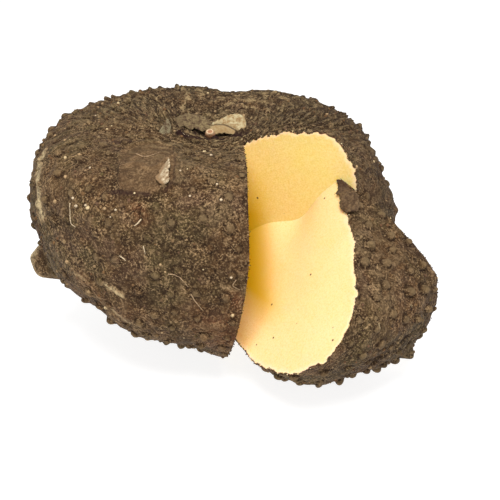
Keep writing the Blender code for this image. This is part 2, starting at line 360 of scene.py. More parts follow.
def notch_space(name, gap, materials):
    """The room between the notch's two walls, with a fine, slightly waved grid on both."""
    steps = round(NOTCH_REACH / CUT_GRID)
    levels = round((NOTCH_HEIGHTS[1] - NOTCH_HEIGHTS[0]) / CUT_GRID)
    corner = NOTCH_CORNER + gap * BACK_FACING
    inwards = np.linspace(1.0, 0.0, steps + 1) * NOTCH_REACH
    bm = bmesh.new()
    rows = []
    for height in np.linspace(*NOTCH_HEIGHTS, levels + 1):
        under = min(max((NOTCH_LEAN_BELOW - height) / NOTCH_LEAN_BELOW, 0.0), 1.0)
        shift = gap / -LEFT_RUN[1] - NOTCH_LEAN * under**NOTCH_LEAN_CURVE
        inner = corner + BACK_RUN * (shift / BACK_RUN[0]) + UP * height
        walls = []
        for run, facing, reach, offset in (
            (LEFT_RUN, LEFT_FACING, inwards, 1.0),
            (BACK_RUN, BACK_FACING, inwards[::-1], 2.0),
        ):
            wall = inner + reach[:, None] * run
            wave = CUT_WAVE * lumps(wall, CUT_WAVE_SIZE, offset) * np.minimum(reach / CUT_CALM, 1.0)
            walls.append(wall + wave[:, None] * facing)
        far = (inner + BACK_RUN * NOTCH_OUTSIDE, inner + LEFT_RUN * NOTCH_OUTSIDE)
        rows.append([bm.verts.new(point) for point in (*walls[0], *walls[1][1:], *far)])
    join_rows(bm, rows, closed=True)
    bm.faces.new(rows[0])
    bm.faces.new(rows[-1])
    return knife_cut(name, bm, materials)


def save_values(mesh, name, values):
    attribute = mesh.attributes.new(name, "FLOAT", "POINT")
    attribute.data.foreach_set("value", np.asarray(values, np.float32))


def set_inputs(node, inputs):
    """Joins an output to each input that is given one, and sets the others to their value."""
    for key, value in dict(inputs).items():
        if isinstance(value, bpy.types.NodeSocket):
            node.id_data.links.new(value, node.inputs[key])
        else:
            node.inputs[key].default_value = value


def node_tools(tree):
    """A short way to add a node to a tree, with its inputs by name or number. It gives the node's
    output of that name or number, or the node where out is None."""

    def add(kind, inputs=(), out=0, **settings):
        node = tree.nodes.new(kind)
        for name, value in settings.items():
            setattr(node, name, value)
        set_inputs(node, inputs)
        return node if out is None else node.outputs[out]

    return add


def maths(add, operation, *values):
    return add("ShaderNodeMath", enumerate(values), operation=operation)


def product(add, first, *others):
    for other in others:
        first = maths(add, "MULTIPLY", first, other)
    return first


def value_between(add, value, low, high, at_low=0.0, at_high=1.0):
    settings = {"Value": value, "From Min": low, "From Max": high, "To Min": at_low, "To Max": at_high}
    return add("ShaderNodeMapRange", settings, clamp=True)


def mixed(add, share, first, second):
    """Two colours mixed by a share, each of them plain or the output of a node."""
    colours = [(*colour, 1.0) if isinstance(colour, tuple) else colour for colour in (first, second)]
    return add("ShaderNodeMix", {0: share, 6: colours[0], 7: colours[1]}, 2, data_type="RGBA")


def spots(add, where, size, detail=3.0, roughness=0.6, distortion=0.0):
    settings = {"Vector": where, "Scale": 1.0 / size, "Detail": detail, "Roughness": roughness}
    return add("ShaderNodeTexNoise", settings | {"Distortion": distortion})


def pattern(add, patterns, name):
    """The pattern of that name, or else the values that the mesh keeps under the name."""
    if name not in patterns:
        patterns[name] = add("ShaderNodeAttribute", out="Fac", attribute_name=name)
    return patterns[name]


def started_finish(name, blotches):
    """A new finish, the way to add nodes to it, and its blotches by size, detail and roughness."""
    made = bpy.data.materials.new(name)
    made.use_nodes = True
    add = node_tools(made.node_tree)
    where = add("ShaderNodeTexCoord", out="Object")
    patterns = {label: spots(add, where, *shape) for label, shape in blotches.items()}
    return made, add, patterns | {"where": where}


def layered(add, patterns, colour, layers):
    """Lays tones over a colour. Each layer gives its tone, a pattern, two values of it, the tone's
    share at each of them, and the patterns that weigh the share."""
    for tone, name, low, high, at_low, at_high, *weights in layers:
        share = value_between(add, pattern(add, patterns, name), low, high, at_low, at_high)
        share = product(add, share, *[pattern(add, patterns, weight) for weight in weights])
        colour = mixed(add, share, colour, patterns.get(tone, tone))
    return colour


def heights_of(add, patterns, parts):
    """The sum of some patterns, each times its height and the patterns that weigh it."""
    total = 0.0
    for height, *names in parts:
        rise = product(add, *[pattern(add, patterns, name) for name in names])
        total = maths(add, "MULTIPLY_ADD", rise, height, total)
    return total


def closed_finish(made, add, colour, heights, strength, distance, surface):
    """Gives a finish its colour, its bumps and the plain values of its surface."""
    normal = add("ShaderNodeBump", {"Strength": strength, "Distance": distance, "Height": heights})
    inputs = {"Base Color": colour, "Normal": normal} | surface
    set_inputs(made.node_tree.nodes["Principled BSDF"], inputs)
    return made


SKIN_OLIVE = (0.108, 0.076, 0.027)
SKIN_BROWN = (0.156, 0.077, 0.028)
SKIN_PURPLE = (0.122, 0.064, 0.036)
SKIN_RED = (0.2, 0.068, 0.026)
SKIN_GREY = (0.208, 0.138, 0.066)
SKIN_DARK = (0.026, 0.011, 0.003)
SKIN_TAN = (0.43, 0.28, 0.14)
# A light tan, for the painted highlight on the wrinkles' crests.
WRINKLE_CREST_HIGHLIGHT = (0.47, 0.33, 0.16)
SKIN_CREAM = (0.72, 0.56, 0.31)
SCAR_BROWN = (0.238, 0.136, 0.062)
# Nearly black, for the painted shade in crevices.
CREVICE_SHADE_BROWN = (0.03, 0.011, 0.008)
SKIN_BLOTCHES = {
    "broad": (0.036, 2.0), "hue": (0.019, 3.0, 0.6), "clump": (0.012, 2.0),
    "middling": (0.0095, 4.0, 0.65), "fine": (0.0034, 4.0, 0.7, 0.6), "grain": (0.0012, 3.0, 0.75),
}
SKIN_WRINKLES = (0.0026, 3.0, 0.6)
# What weighs the skin's layers: each is the product of patterns between two values of them.
SKIN_WEIGHTS = {
    "smooth": (("wart", 0.45, 1.0, 1.0, 0.0), ("relief", 0.0004, 0.0016)),
    "calm": (("scar", 0.3, 0.6, 1.0, 0.5), ("smooth", 0.0, 1.0, 1.0, 0.4)),
    "rough": (("calm", 0.0, 1.0), ("clump", 0.44, 0.6, 0.6, 1.0)),
    "speckled": (
        ("calm", 0.0, 1.0), ("clump", 0.42, 0.6, 0.45, 1.0), ("rubbed_fine", 0.3, 0.5, 1.0, 0.72),
    ),
    "torn": (("scar", 0.34, 0.5, 0.75, 0.0), ("middling", 0.4, 0.56)),
    "broken": (("hue", 0.35, 0.6),),
    "round_wart": (("wart", 0.8, 1.05), ("scar", 0.2, 0.5, 1.0, 0.0)),
    "off_warts": (("smooth", 0.0, 1.0, 1.0, 0.55),),
}
SKIN_LAYERS = (
    (SKIN_BROWN, "broad", 0.42, 0.58, 0.0, 1.0),
    (SKIN_PURPLE, "hue", 0.5, 0.62, 0.0, 0.85),
    (SKIN_GREY, "middling", 0.52, 0.72, 0.0, 0.6),
    (SKIN_DARK, "middling", 0.34, 0.5, 0.6, 0.0),
    (SKIN_RED, "reddish", 0.0, 1.0, 0.0, 0.75),
    (SCAR_BROWN, "scar", 0.3, 0.6, 0.0, 0.85),
    (SKIN_DARK, "scar", 0.1, 0.28, 0.0, 1.0, "torn"),
    (SKIN_DARK, "clump", 0.36, 0.56, 0.42, 0.0),
    # Painted shade in the skin's hollows and painted highlight on its raised places, by the height of its
    # relief.
    (SKIN_DARK, "relief", -0.0022, 0.0, 0.8, 0.0),
    (SKIN_GREY, "relief", 0.0002, 0.002, 0.0, 0.55),
    # Painted light: the band round the crown is made a little lighter, as lit from above.
    (SKIN_GREY, "top", 0.0, 1.0, 0.0, 0.16),
    # Painted shade in the grooves between the growth rings.
    (SKIN_DARK, "groove", 0.25, 0.85, 0.0, 0.6, "broken"),
    # Painted shade in the wrinkles' hollows and painted highlight on their crests, round the crown.
    (SKIN_DARK, "wrinkles", 0.42, 0.48, 0.8, 0.0, "top"),
    (WRINKLE_CREST_HIGHLIGHT, "wrinkles", 0.53, 0.6, 0.0, 0.8, "top"),
    # Painted shade in the moat round each wart.
    (SKIN_DARK, "wart", 1.05, 1.55, 0.95, 0.0, "round_wart"),
    (SKIN_DARK, "fine", 0.38, 0.5, 0.9, 0.0, "rough"),
    (SKIN_TAN, "fine", 0.53, 0.66, 0.0, 0.56, "rough"),
    ("pale", "rubbed_fine", 0.26, 0.48, 0.0, 0.95),
    (SKIN_DARK, "grain", 0.4, 0.51, 1.0, 0.0, "speckled"),
    (SKIN_TAN, "grain", 0.54, 0.63, 0.0, 0.85, "speckled"),
    (SKIN_GREY, "smooth", 0.0, 1.0, 0.0, 0.3),
    # Painted shade from the dull patches.
    (SKIN_DARK, "dull", 0.0, 1.0, 0.0, 0.42),
    # Painted shade in crevices and beside the chip.
    (CREVICE_SHADE_BROWN, "crevice", 0.25, 0.75, 0.0, 1.0),
)
SKIN_HEIGHTS = ((0.8, "fine", "off_warts"), (2.4, "wrinkles", "top"), (0.55, "grain"))
SKIN_SURFACE = {"Roughness": 0.8, "Specular IOR Level": 0.2}


def skin_material():
    made, add, patterns = started_finish("corky_skin", SKIN_BLOTCHES)
    ringed = add("ShaderNodeAttribute", out="Vector", attribute_name="ringed")
    patterns["wrinkles"] = spots(add, ringed, *SKIN_WRINKLES)
    rubbed = pattern(add, patterns, "rubbed")
    patterns["rubbed_fine"] = product(add, rubbed, patterns["fine"])
    patterns["pale"] = mixed(add, value_between(add, rubbed, 0.65, 0.9), SKIN_TAN, SKIN_CREAM)
    for name, parts in SKIN_WEIGHTS.items():
        shares = [value_between(add, pattern(add, patterns, label), *between) for label, *between in parts]
        patterns[name] = product(add, *shares)
    colour = layered(add, patterns, SKIN_OLIVE, SKIN_LAYERS)
    heights = heights_of(add, patterns, SKIN_HEIGHTS)
    return closed_finish(made, add, colour, heights, 1.0, 0.0026, SKIN_SURFACE)


# The wedge's flesh is the same flesh as the corm's, made paler and brighter: painted light on its near face,
# which turns up into the light.
CORM_FLESH = ((0.735, 0.535, 0.18), (0.73, 0.56, 0.162))
WEDGE_FLESH_PAINTED_PALER = ((0.865, 0.612, 0.29), (0.855, 0.588, 0.252))
# This orange is both the flesh's own grain and the painted shade deep in the notch.
FLESH_ORANGE = (0.63, 0.39, 0.002)
FLESH_PALE = (0.97, 0.85, 0.53)
FLESH_PEACH = (0.93, 0.7, 0.44)
FLESH_SPECK = (0.12, 0.065, 0.02)
RIND_LINE = (0.075, 0.034, 0.015)
FLESH_BLOTCHES = {"broad": (0.03, 2.0), "ragged": (0.0034, 4.0, 0.75), "grain": (0.0011, 3.0, 0.7)}
RIND_RAGGED = 0.0052
SPECK_CELL = 0.008
FLESH_LAYERS = (
    (FLESH_PALE, "grain", 0.4, 0.7, 0.0, 0.25),
    (FLESH_ORANGE, "grain", 0.34, 0.48, 0.16, 0.0),
    # Painted shade: the flesh turns deep orange against the notch's left wall.
    (FLESH_ORANGE, "inner", 0.0, 1.0, 0.0, 1.0),
    (FLESH_PEACH, "edge", 0.004, 0.0068, 0.7, 0.0),
    (FLESH_SPECK, "from_speck", 0.06, 0.11, 1.0, 0.0, "chosen"),
    (RIND_LINE, "edge", 0.003, 0.0036, 1.0, 0.0),
)
FLESH_SURFACE = {
    "Roughness": 0.52, "Specular IOR Level": 0.12, "Subsurface Weight": 0.3,
    "Subsurface Radius": (1.0, 0.45, 0.12), "Subsurface Scale": 0.003,
}


def flesh_material(name, yellow, deep):
    made, add, patterns = started_finish(name, FLESH_BLOTCHES)
    depth = pattern(add, patterns, "depth")
    patterns["edge"] = maths(add, "MULTIPLY_ADD", patterns["ragged"], RIND_RAGGED, depth)
    settings = {"Vector": patterns["where"], "Scale": 1.0 / SPECK_CELL}
    cells = add("ShaderNodeTexVoronoi", settings, None).outputs
    patterns["from_speck"] = cells["Distance"]
    chosen = add("ShaderNodeSeparateColor", {0: cells["Color"]}, "Red")
    patterns["chosen"] = value_between(add, chosen, 0.6, 0.62)
    layers = ((deep, "broad", 0.35, 0.65, 0.0, 1.0), *FLESH_LAYERS)
    colour = layered(add, patterns, yellow, layers)
    return closed_finish(made, add, colour, patterns["grain"], 0.45, 0.0008, FLESH_SURFACE)


skin_finish = skin_material()
corm_finishes = (skin_finish, flesh_material("corm_flesh", *CORM_FLESH))

# Patches of the corm's skin that differ: the path that each follows, half width and strength.
CORM_REDDISH = (
    (((0.042, -0.962, -0.27), (0.104, -0.94, -0.324)), 0.16, 1.0),
    (((-0.31, -0.87, 0.4), (-0.28, -0.88, 0.36)), 0.05, 0.9),
    (((0.15, -0.985, -0.03), (0.18, -0.98, -0.07)), 0.05, 1.0),
    (((-0.62, -0.78, -0.02), (-0.45, -0.86, -0.19)), 0.07, 0.7),
)
CORM_RUBBED = (
    (((-0.862, -0.24, 0.48), (-0.835, -0.4, 0.395), (-0.82, -0.457, 0.358)), 0.08, 0.88),
    (((-0.82, -0.457, 0.358), (-0.835, -0.465, 0.3), (-0.825, -0.5, 0.25)), 0.08, 0.9),
    (((-0.64, -0.76, -0.02), (-0.54, -0.82, -0.16), (-0.38, -0.88, -0.28)), 0.11, 0.64),
    (((-0.5, -0.865, 0.0), (-0.43, -0.9, -0.06)), 0.042, 0.82),
    (((-0.345, -0.735, 0.585), (-0.3, -0.765, 0.565)), 0.024, 0.66),
    (((-0.677, -0.735, 0.029), (-0.617, -0.787, -0.007)), 0.034, 0.74),
    (((-0.5, -0.845, -0.17), (-0.41, -0.877, -0.24)), 0.04, 0.8),
    (((0.1, -0.99, 0.03), (0.17, -0.985, 0.01)), 0.026, 0.7),
    (((-0.98, -0.19, -0.08), (-0.965, -0.22, -0.2)), 0.1, 0.9),
    (((-0.52, 0.2, 0.83), (-0.3, 0.52, 0.8)), 0.05, 0.62),
)
# Painted shade: the skin is darkened on the right upper flank and low on the front, where less light falls.
CORM_PAINTED_SHADE = (
    (((0.7, 0.35, 0.6), (0.86, 0.08, 0.48), (0.93, -0.12, 0.25)), 0.3, 0.9),
    (((-0.18, -0.98, -0.02), (0.06, -0.98, -0.14)), 0.22, 0.35),
)
# Painted shade, nearly black: in the crown's crevice and its fold, in creases of the skin, and beside the
# scar's chip, where shadow falls.
CORM_CREVICE_SHADE = (
    (((-0.15, -0.835, 0.53), (-0.18, -0.855, 0.49)), 0.014, 0.6),
    (((-0.28, 0.2, 0.93), (-0.14, 0.31, 0.94), (0.05, 0.37, 0.93), (0.34, 0.25, 0.91)), 0.065, 1.0),
    (((-0.24, -0.27, 0.93), (-0.16, -0.3, 0.94), (0.035, -0.225, 0.969)), 0.05, 0.85),
    (((0.035, -0.225, 0.969), (0.13, -0.26, 0.951), (0.287, -0.2, 0.931), (0.4, -0.03, 0.925)), 0.045, 0.85),
    (((-0.567, -0.441, 0.696), (-0.484, -0.485, 0.729), (-0.419, -0.473, 0.775)), 0.015, 0.65),
    (((-0.225, -0.573, 0.788), (-0.17, -0.723, 0.67), (-0.137, -0.836, 0.531)), 0.015, 0.5),
    (((-0.431, -0.778, 0.457), (-0.338, -0.819, 0.464), (-0.255, -0.845, 0.47)), 0.019, 0.65),
    (((-0.59, -0.48, 0.65), (-0.56, -0.61, 0.56), (-0.45, -0.77, 0.46)), 0.012, 0.4),
)
# Painted shade of the notch's flesh: how far it reaches from the left wall, how soft its edge is, and the
# heights where it fades out above and below.
NOTCH_SHADE_REACH = (0.0075, 0.015)
NOTCH_SHADE_SOFT = 0.003
NOTCH_SHADE_TOP = (0.088, 0.125)
NOTCH_SHADE_FOOT = (0.042, 0.055)


def cut_skin(name, divisions, middle, skin, relief_of, finishes, cutters):
    """A piece's whole closed skin, and then what the cutters leave of it."""
    bm, directions = ball_of_directions(divisions)
    reach = skin(directions)
    relief, _ = relief_of(directions, reach)
    place_points(bm, middle + directions * (reach + relief)[:, None])
    piece = finished_object(name, bm, finishes)
    for other, operation in cutters:
        modifier = piece.modifiers.new(other.name, "BOOLEAN")
        modifier.operation = operation
        modifier.object = other
        modifier.solver = "MANIFOLD"
    as_plain_mesh(piece)
    return piece


def painted_notch_shade(points):
    """Painted shade for the flesh: from 1 deep in the notch, against its left wall, to 0 out where the light
    comes in.
    """
    from_left = np.maximum((points - NOTCH_CORNER) @ LEFT_FACING, 0.0)
    down = np.interp(points[:, 2], NOTCH_SHADE_TOP, (1.0, 0.0))
    foot = np.interp(points[:, 2], NOTCH_SHADE_FOOT, (0.0, 1.0))
    reach = np.interp(foot, (0.0, 1.0), NOTCH_SHADE_REACH)
    return down * foot * before(from_left, reach, NOTCH_SHADE_SOFT)


# Round the crown the skin is drawn into fine wrinkles, which run along with the growth rings.
TOP_BAND = (0.55, 0.5)
RING_RUN = 0.036
RING_RISE = 0.11
OFF_WARTS = (0.8, 1.05)
OFF_CUTS = (0.002, 0.004)
PEELED_FROM = 1.5
SHARP_FOLD = math.radians(30.0)


def about_crown(directions):
    """The angle from the crown's middle, and a place that changes slowly along each ring."""
    towards = unit(CROWN_TOWARDS)
    from_crown = angle_from(directions, towards)
    sideways = unit(np.cross(towards, (0.0, 1.0, 0.0)))
    forward = np.cross(towards, sideways)
    bearing = np.arctan2(directions @ forward, directions @ sideways)
    run = RING_RUN * np.sin(from_crown)
    ringed = (run * np.cos(bearing), run * np.sin(bearing), RING_RISE * from_crown)
    return from_crown, np.array(ringed).T


def strongest(count, strengths):
    return np.max([np.zeros(count), *strengths], axis=0)


def mark_skin_and_flesh(piece, middle, skin, relief_of, patches, scars, uncut, crowned):
    """Keeps, on each point, what the finishes and growths read; only cut edges stay sharp."""
    mesh = piece.data
    count = len(mesh.vertices)
    points = np.empty(count * 3)
    mesh.vertices.foreach_get("co", points)
    points = points.reshape(-1, 3)
    from_middle = points - middle
    distance = np.linalg.norm(from_middle, axis=1)
    directions = from_middle / distance[:, None]
    reach = skin(directions)
    places = directions * reach[:, None]
    relief, nearness = relief_of(directions, reach)
    from_crown, ringed = about_crown(directions)
    ring_places = mesh.attributes.new("ringed", "FLOAT_VECTOR", "POINT")
    ring_places.data.foreach_set("vector", ringed.astype(np.float32).ravel())
    off_warts = np.interp(nearness, OFF_WARTS, (0.0, 1.0))
    peeled = [np.minimum(PEELED_FROM - scar_nearness(directions, places, *scar), 1.0) for scar in scars]
    values = {
        "depth": reach + relief - distance,
        "relief": relief,
        "wart": np.minimum(nearness, 2.0),
        # The painted shade deep in the notch, which turns the flesh orange there.
        "inner": painted_notch_shade(points),
        "top": hump(from_crown, *TOP_BAND) * crowned,
        "groove": np.maximum(-growth_rings(directions, places), 0.0) * crowned,
        "growing": off_warts * np.interp(uncut(points), OFF_CUTS, (0.0, 1.0)),
        "scar": strongest(count, peeled),
    }
    for label, strips in patches.items():
        strengths = [most * near_path(directions, path, width) for path, width, most in strips]
        values[label] = strongest(count, strengths)
    for label, column in values.items():
        save_values(mesh, label, column)
    mesh.shade_smooth()
    mesh.attributes.new("rim", "BOOLEAN", "EDGE")
    bm = bmesh.new()
    bm.from_mesh(mesh)
    layer = bm.edges.layers.bool["rim"]
    for edge in bm.edges:
        finishes = {face.material_index for face in edge.link_faces}
        folded = finishes == {1} and edge.calc_face_angle(0.0) > SHARP_FOLD
        edge[layer] = len(finishes) > 1
        edge.smooth = not (edge[layer] or folded)
    bm.to_mesh(mesh)
    bm.free()


def remove_pieces(*pieces):
    for piece in pieces:
        bpy.data.objects.remove(piece, do_unlink=True)


corm_warts, corm_wart_sizes = wart_places(
    CORM_MIDDLE, corm_skin, outside_notch, CORM_GROWTHS, (SCAR,), WART_SEED
)


def corm_relief(directions, reach):
    warts = (corm_warts, corm_wart_sizes)
    return skin_relief(directions, reach, *warts, CORM_FOLDS, SCARS, RING_HEIGHT)


BUD_MIDDLE = np.array([-0.112, -0.024, 0.058])
BUD_BARE = 0.014
CORM_DIVISIONS = 126
GROUND_SIZE = 0.6


def beside_notch(points):
    """How far points on the corm's skin lie outside the notch and off the smooth side bud."""
    off_bud = np.linalg.norm(points - BUD_MIDDLE, axis=1) - BUD_BARE
    return np.minimum(outside_notch(points), off_bud)


corm_notch = notch_space("corm_notch", 0.0, corm_finishes)
ground_bm = bmesh.new()
under_floor = Matrix.Translation((0.0, 0.0, -0.5 * GROUND_SIZE))
bmesh.ops.create_cube(ground_bm, size=GROUND_SIZE, matrix=under_floor)
ground = finished_object("ground", ground_bm, corm_finishes)
corm = cut_skin(
    "corm_body", CORM_DIVISIONS, CORM_MIDDLE, corm_skin, corm_relief, corm_finishes,
    ((corm_notch, "DIFFERENCE"), (ground, "DIFFERENCE")),
)
# The dull patches are painted shade.
corm_patches = {"reddish": CORM_REDDISH, "rubbed": CORM_RUBBED, "dull": CORM_PAINTED_SHADE, "crevice": CORM_CREVICE_SHADE}
mark_skin_and_flesh(
    corm, CORM_MIDDLE, corm_skin, corm_relief, corm_patches, SCARS, beside_notch, True
)
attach(corm, "root")
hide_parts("corm")

# The cut wedge is the piece that the knife took out of the corm. It has two flat faces of flesh
# that meet at a thin edge, and the corm's skin on its outside. It lies rolled over in the notch,
# with its far face against the notch's back wall.
WEDGE_TIP = np.array([0.0796, -0.0404, 0.12])
WEDGE_ROLL = math.radians(54.6)
WEDGE_ANGLE = math.radians(50.0)
WEDGE_MIDDLE_DOWN_EDGE = 0.0265
WEDGE_MIDDLE_FROM_EDGE = 0.063
WEDGE_GAP = -0.0002
WEDGE_EDGE = math.sin(WEDGE_ROLL) * BACK_RUN + math.cos(WEDGE_ROLL) * UP
FAR_FACE_RUN = unit(np.cross(WEDGE_EDGE, BACK_FACING))
NEAR_FACE_RUN = math.cos(WEDGE_ANGLE) * FAR_FACE_RUN + math.sin(WEDGE_ANGLE) * BACK_FACING
NEAR_FACE_FACING = unit(np.cross(NEAR_FACE_RUN, WEDGE_EDGE))
WEDGE_OUT = unit(NEAR_FACE_RUN + FAR_FACE_RUN)
WEDGE_ACROSS = unit(NEAR_FACE_RUN - FAR_FACE_RUN)
WEDGE_MIDDLE = (
    WEDGE_TIP - WEDGE_MIDDLE_DOWN_EDGE * WEDGE_EDGE + WEDGE_MIDDLE_FROM_EDGE * WEDGE_OUT
)
WEDGE_SIDES = (
    (WEDGE_EDGE - 0.3 * WEDGE_OUT + 0.28 * WEDGE_ACROSS, 0.0455),
    (0.75 * WEDGE_EDGE + 0.65 * FAR_FACE_RUN, 0.0565),
    (0.8 * WEDGE_EDGE + 0.6 * NEAR_FACE_RUN, 0.0645),
    (WEDGE_OUT, 0.057),
    (NEAR_FACE_RUN, 0.076),
    (FAR_FACE_RUN, 0.0545),
    (-WEDGE_EDGE, 0.0663),
    (NEAR_FACE_RUN - WEDGE_EDGE, 0.0583),
    (-WEDGE_OUT, 0.093),
    (NEAR_FACE_FACING, 0.099),
    (-BACK_FACING, 0.099),
    ((0.0, 0.0, -1.0), 0.066),
)
WEDGE_ROLLS = (((0.24, -0.52, -0.82), 0.24, -0.0048, 2.0),)
WEDGE_GROWTHS = (((0.79, -0.22, -0.57), 0.07, 0.0065, 2.0),)
WEDGE_REDDISH = ((((0.45, -0.85, 0.25), (0.6, -0.75, 0.1)), 0.22, 0.5),)
WEDGE_RUBBED = (
    (((0.354, -0.928, 0.114), (0.36, -0.925, 0.13)), 0.03, 0.9),
    (((0.799, -0.583, 0.148), (0.79, -0.59, 0.16)), 0.035, 0.9),
    (((0.7, 0.3, 0.65), (0.85, 0.05, 0.5)), 0.04, 0.62),
)
# Painted shade on the low side of the wedge, which faces down, away from the light.
WEDGE_PAINTED_SHADE = ((((0.7, -0.45, -0.4), (0.4, -0.7, -0.5)), 0.35, 0.8),)
WEDGE_FOLDS = (
    (((0.8, -0.25, 0.55), (0.62, -0.55, 0.55), (0.45, -0.8, 0.4)), 0.03, -0.0016),
    (((0.95, -0.1, -0.1), (0.75, -0.6, -0.25), (0.4, -0.85, -0.35)), 0.035, -0.0014),
)


wedge_skin = skin_between(WEDGE_SIDES, WEDGE_ROLLS + WEDGE_GROWTHS)


def beside_faces(points):
    """How far points on the wedge's skin lie from its two cut faces."""
    before_near = (WEDGE_TIP - points) @ NEAR_FACE_FACING
    before_far = (points - NOTCH_CORNER) @ BACK_FACING
    return np.minimum(before_near, before_far)


# The knife left the near face a little hollow along the thin edge, which wears away there. The
# face's grid starts a little outside the edge and the tip.
NEAR_REACH = (0.125, 0.15)
NEAR_MARGIN = 0.03
NEAR_THICK = 0.2
EDGE_WORN = 0.0076
EDGE_WORN_BAND = (0.038, 0.016)
EDGE_WORN_WIDTH = 0.022
WEDGE_DIVISIONS = 110


def near_side(name, materials):
    """What lies beyond the near face: a fine grid over the face, drawn out to a thick slab."""
    down, out = (np.arange(-NEAR_MARGIN, reach, CUT_GRID) for reach in NEAR_REACH)
    bm = bmesh.new()
    rows = []
    for fall in down:
        line = np.array([WEDGE_TIP - fall * WEDGE_EDGE + run * NEAR_FACE_RUN for run in out])
        worn = hump(fall, *EDGE_WORN_BAND)
        hollow = EDGE_WORN * worn * np.exp(-np.maximum(out, 0.0) / EDGE_WORN_WIDTH)
        wave = CUT_WAVE * lumps(line, 0.024, 5.0) - hollow
        rows.append([bm.verts.new(point) for point in line + wave[:, None] * NEAR_FACE_FACING])
    join_rows(bm, rows)
    drawn = bmesh.ops.extrude_face_region(bm, geom=bm.faces[:])
    lifted = [item for item in drawn["geom"] if isinstance(item, bmesh.types.BMVert)]
    bmesh.ops.translate(bm, vec=Vector(NEAR_FACE_FACING * NEAR_THICK), verts=lifted)
    return knife_cut(name, bm, materials)


wedge_warts, wedge_wart_sizes = wart_places(
    WEDGE_MIDDLE, wedge_skin, beside_faces, WEDGE_GROWTHS, (), WART_SEED + 1
)


def wedge_relief(directions, reach):
    return skin_relief(directions, reach, wedge_warts, wedge_wart_sizes, WEDGE_FOLDS, (), 0.0)


wedge_finishes = (skin_finish, flesh_material("wedge_flesh_painted_paler", *WEDGE_FLESH_PAINTED_PALER))
wedge_room = notch_space("wedge_room", WEDGE_GAP, wedge_finishes)
near_cut = near_side("near_cut", wedge_finishes)
wedge = cut_skin(
    "wedge_body", WEDGE_DIVISIONS, WEDGE_MIDDLE, wedge_skin, wedge_relief, wedge_finishes,
    ((wedge_room, "INTERSECT"), (near_cut, "DIFFERENCE"), (ground, "DIFFERENCE")),
)
wedge_patches = {"reddish": WEDGE_REDDISH, "rubbed": WEDGE_RUBBED, "dull": WEDGE_PAINTED_SHADE, "crevice": ()}
mark_skin_and_flesh(
    wedge, WEDGE_MIDDLE, wedge_skin, wedge_relief, wedge_patches, (), beside_faces, False
)
remove_pieces(corm_notch, wedge_room, near_cut, ground)
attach(wedge, "root")
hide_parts("cut_wedge")

# Small warts and root buds stand all over the skin between the large ones. They are round grains
# of cork, grown out of the skin, a few of them rubbed down to their pale inside.
PIMPLE_SPACING = 0.0048
PIMPLE_RADII = (0.0005, 0.0015)
PIMPLE_SIDES = 7
PIMPLE_RINGS = 4
PIMPLE_SHAPE = (1.0, 0.92, 0.8)
CRUMB_SPACING = 0.0028
CRUMB_RADII = (0.0002, 0.0007)
HAIR_SPACING = 0.011
HAIR_LENGTHS = (0.001, 0.0034)
CLUMP_SIZE = 0.014
CLEAR_OF_FLOOR = 0.004
MOST_PER_AREA = 200000.0
FULL_TURN = 6.283
GROWN_SEED = 11
ITEM_MEASURES = ("Spacing", "Least size", "Greatest size")


def named_values(add, name, kind="FLOAT"):
    settings = {"Name": name}
    return add("GeometryNodeInputNamedAttribute", settings, data_type=kind)


def off_floor(add):
    """1 at what stands clear of the floor, and 0 at the rest."""
    height = add("ShaderNodeSeparateXYZ", {0: add("GeometryNodeInputPosition")}, "Z")
    return maths(add, "GREATER_THAN", height, CLEAR_OF_FLOOR)


def random_vector(add, low, high, seed=0):
    settings = {0: low, 1: high, "Seed": seed}
    return add("FunctionNodeRandomValue", settings, data_type="FLOAT_VECTOR")


def item_tree(name, measures, placed_at, item, skew, tone_seed, sunk=0.0, smooth=False):
    """Sets one kind of small item on a skin, each with a size, a turn and a tone of its own."""
    tree = bpy.data.node_groups.new(name, "GeometryNodeTree")
    kinds = {"Skin": "Geometry"} | dict.fromkeys(measures, "Float") | {"Seed": "Int", "Finish": "Material"}
    for label, kind in kinds.items():
        tree.interface.new_socket(label, in_out="INPUT", socket_type=f"NodeSocket{kind}")
    tree.interface.new_socket("Items", in_out="OUTPUT", socket_type="NodeSocketGeometry")
    add = node_tools(tree)
    given = add("NodeGroupInput", out=None).outputs
    made, turned = placed_at(add, given)
    share = maths(add, "POWER", add("FunctionNodeRandomValue", {"Seed": given["Seed"]}, 1), skew)
    settings = {"Value": share, "To Min": given["Least size"], "To Max": given["Greatest size"]}
    size = add("ShaderNodeMapRange", settings)
    down = add("ShaderNodeCombineXYZ", {"Z": product(add, size, -sunk)})
    tone = add("FunctionNodeRandomValue", {"Seed": tone_seed}, 1)
    for kind, inputs, settings in (
        ("InstanceOnPoints", {"Instance": item(add), "Rotation": turned, "Scale": size}, {}),
        ("TranslateInstances", {"Translation": down}, {}),
        ("StoreNamedAttribute", {"Name": "tone", "Value": tone}, {"domain": "INSTANCE"}),
        ("RealizeInstances", {}, {}),
        ("SetShadeSmooth", {"Selection": smooth}, {}),
        ("SetMaterial", {"Material": given["Finish"]}, {}),
    ):
        made = add("GeometryNode" + kind, {0: made} | inputs, **settings)
    add("NodeGroupOutput", {"Items": made}, None)
    return tree


